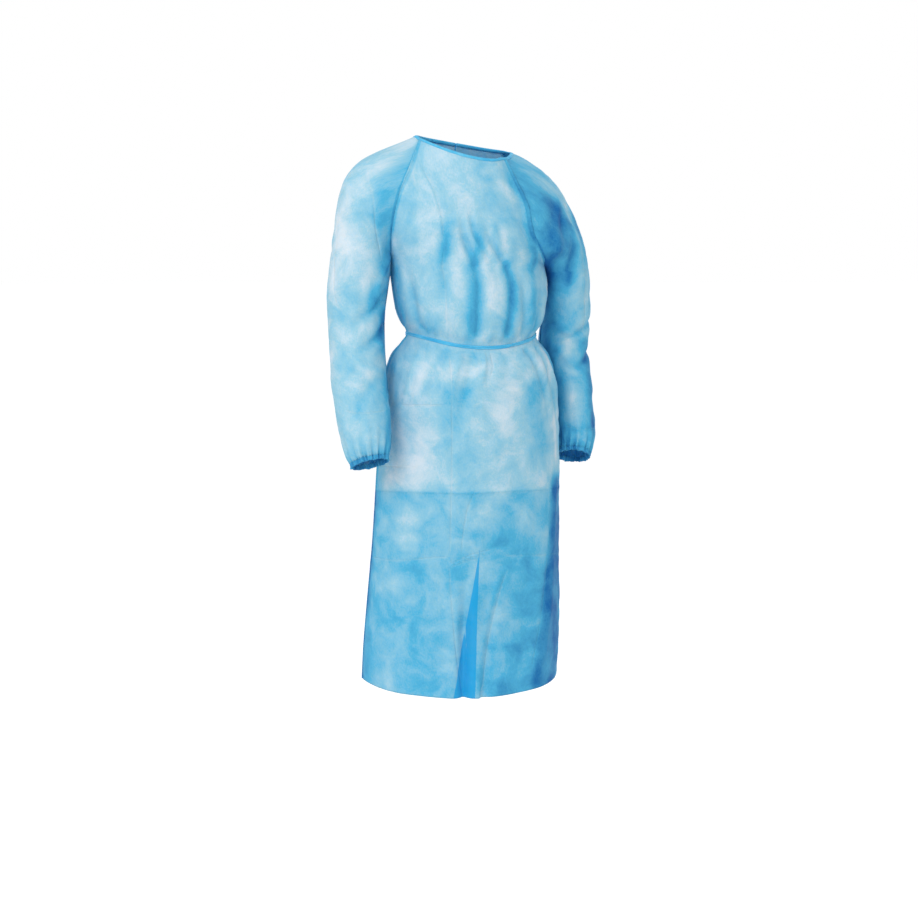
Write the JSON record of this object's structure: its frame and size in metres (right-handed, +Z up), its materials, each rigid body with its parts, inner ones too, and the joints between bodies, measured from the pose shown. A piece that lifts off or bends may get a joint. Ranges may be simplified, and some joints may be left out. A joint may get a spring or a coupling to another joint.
{
  "type": "disposable isolation gown",
  "caption": "Knee-length disposable nonwoven gown as worn, with raglan sleeves, bound round neck, elastic cuffs, a narrow waist tie and an overlapping back opening.",
  "frame": {"origin": "middle of the neck opening, level with the two points where the shoulders meet the neckline, where the wearer's shoulders and neck hold it up", "axes": "+Z up, towards the wearer's head; the front faces -Y; +X is the wearer's left"},
  "size_m": [0.6054, 0.3543, 1.1746],
  "materials": {
    "nonwoven": "matt spunbond nonwoven, pale sky blue and slightly see-through",
    "binding": "matt spunbond nonwoven, folded double, so a deeper blue"
  },
  "bodies": {
    "root": {"front": "nonwoven", "back_left": "nonwoven", "back_right": "nonwoven", "sleeve_left": "nonwoven", "sleeve_right": "nonwoven", "cuff_left": "nonwoven", "cuff_right": "nonwoven", "waist_tie": "nonwoven", "waist_knot": "nonwoven", "waist_tie_end_left": "nonwoven", "waist_tie_end_right": "nonwoven", "neck_binding": "binding", "neck_knot": "binding", "neck_tie_end_left": "binding", "neck_tie_end_right": "binding"}
  },
  "joints": []
}
